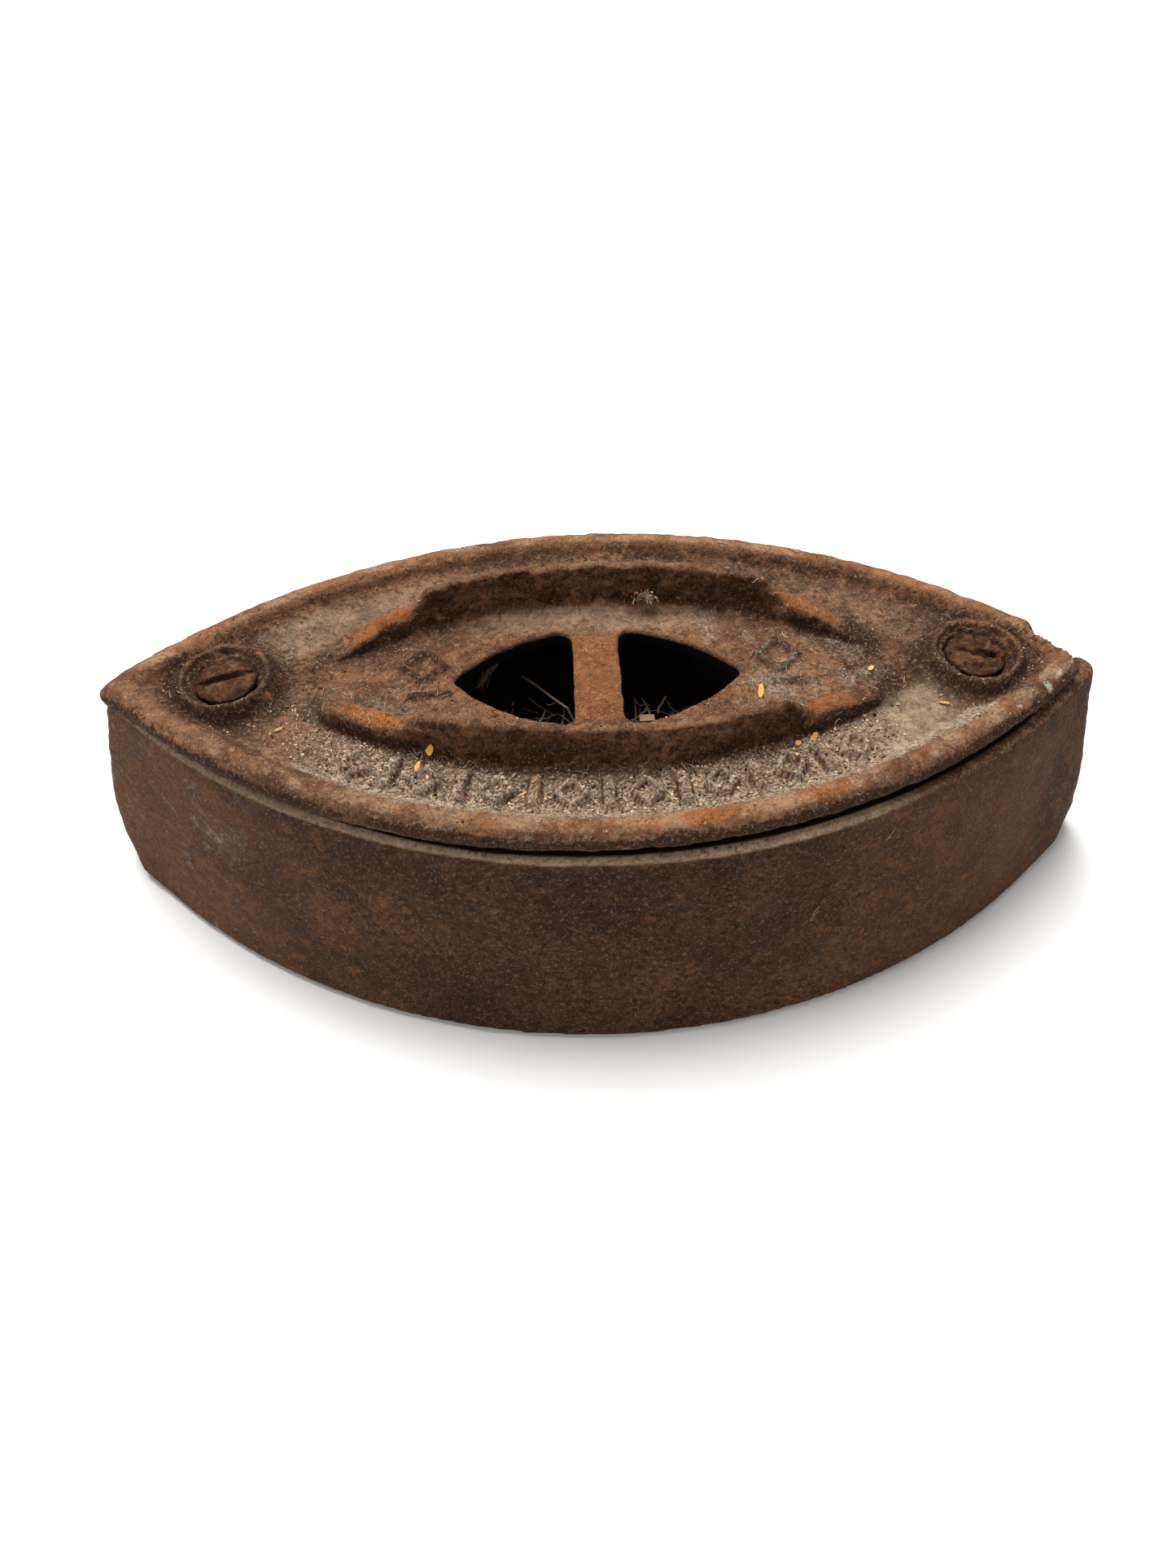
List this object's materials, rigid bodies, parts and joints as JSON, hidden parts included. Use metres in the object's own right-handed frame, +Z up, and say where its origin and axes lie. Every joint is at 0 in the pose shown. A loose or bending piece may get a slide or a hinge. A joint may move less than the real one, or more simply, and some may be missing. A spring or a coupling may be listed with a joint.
{
  "type": "sad iron",
  "caption": "Double-pointed cast-iron sad iron base with a screwed-on cap, two handle-locating ridges and a barred latch window; its clip-on handle is left out.",
  "frame": {"origin": "middle of the sole, on the surface that the iron rests on", "axes": "+Z up out of the sole, +X from one point to the other, +Y across"},
  "size_m": [0.1668, 0.08, 0.0469],
  "materials": {
    "body_iron": "matte",
    "cap_iron": "matte",
    "screw_iron": "matte",
    "filling": "matte"
  },
  "bodies": {
    "body": {"body_casting": "body_iron", "insulating_filling": "filling"},
    "cap": {"cap_plate": "cap_iron"},
    "left_screw": {"left_cap_screw": "screw_iron"},
    "right_screw": {"right_cap_screw": "screw_iron"}
  },
  "joints": [
    {"name": "cap_lift", "type": "slide", "parent": "body", "child": "cap", "axis": [0, 0, 1], "range_m": [0, 0.045]},
    {"name": "left_screw_out", "type": "slide", "parent": "cap", "child": "left_screw", "axis": [0, 0, 1], "range_m": [0, 0.024]},
    {"name": "right_screw_out", "type": "slide", "parent": "cap", "child": "right_screw", "axis": [0, 0, 1], "range_m": [0, 0.024]}
  ]
}
